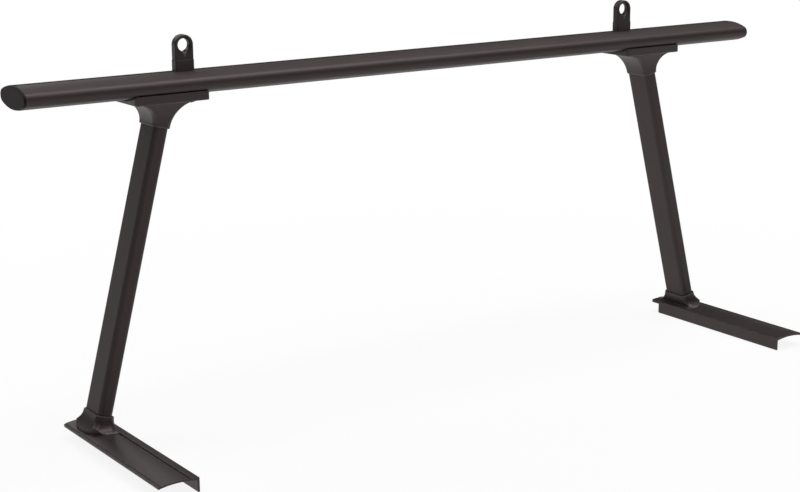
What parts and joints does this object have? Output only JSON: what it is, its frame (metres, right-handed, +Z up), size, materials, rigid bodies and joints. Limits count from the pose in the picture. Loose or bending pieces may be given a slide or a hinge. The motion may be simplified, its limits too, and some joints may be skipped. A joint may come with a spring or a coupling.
{
  "type": "ladder rack",
  "caption": "Pickup-bed ladder rack: an oval crossbar on two leaning uprights that stand on flanged bed-rail bases, with sliding tie-down eyes.",
  "frame": {"origin": "centre of the bounding box at its bottom, where the base rails' flanges end", "axes": "+X across the truck to the right-hand side, -Y towards the tailgate end of the base rails, +Z up"},
  "size_m": [1.803, 0.4096, 0.7709],
  "materials": {
    "black_coat": "satin black powder coat on extruded aluminium",
    "black_casting": "satin black powder coat on cast aluminium",
    "black_plastic": "moulded, fine grain",
    "plated_steel": "black zinc plating"
  },
  "bodies": {
    "bar": {"crossbar": "black_coat", "end_cap_left": "black_plastic", "end_cap_right": "black_plastic"},
    "left_side": {"top_bracket_left": "black_casting", "upright_left": "black_coat", "foot_bracket_left": "black_casting", "base_rail_left": "black_coat", "saddle_screws_left": "plated_steel", "saddle_nuts_left": "plated_steel", "upright_top_screws_left": "plated_steel", "upright_foot_screws_left": "plated_steel", "foot_screws_left": "plated_steel"},
    "right_side": {"top_bracket_right": "black_casting", "upright_right": "black_coat", "foot_bracket_right": "black_casting", "base_rail_right": "black_coat", "saddle_screws_right": "plated_steel", "saddle_nuts_right": "plated_steel", "upright_top_screws_right": "plated_steel", "upright_foot_screws_right": "plated_steel", "foot_screws_right": "plated_steel"},
    "left_tie_down": {"tie_down_left": "black_casting", "tie_down_nut_left": "plated_steel", "tie_down_screw_left": "plated_steel"},
    "right_tie_down": {"tie_down_right": "black_casting", "tie_down_nut_right": "plated_steel", "tie_down_screw_right": "plated_steel"}
  },
  "joints": [
    {"name": "left_upright_slide", "type": "slide", "parent": "bar", "child": "left_side", "axis": [-1, 0, 0], "range_m": [-0.1, 0.1]},
    {"name": "right_upright_slide", "type": "slide", "parent": "bar", "child": "right_side", "axis": [1, 0, 0], "range_m": [-0.1, 0.1]},
    {"name": "left_tie_down_slide", "type": "slide", "parent": "bar", "child": "left_tie_down", "axis": [-1, 0, 0], "range_m": [-0.52, 0.3]},
    {"name": "right_tie_down_slide", "type": "slide", "parent": "bar", "child": "right_tie_down", "axis": [1, 0, 0], "range_m": [-0.52, 0.3]}
  ]
}
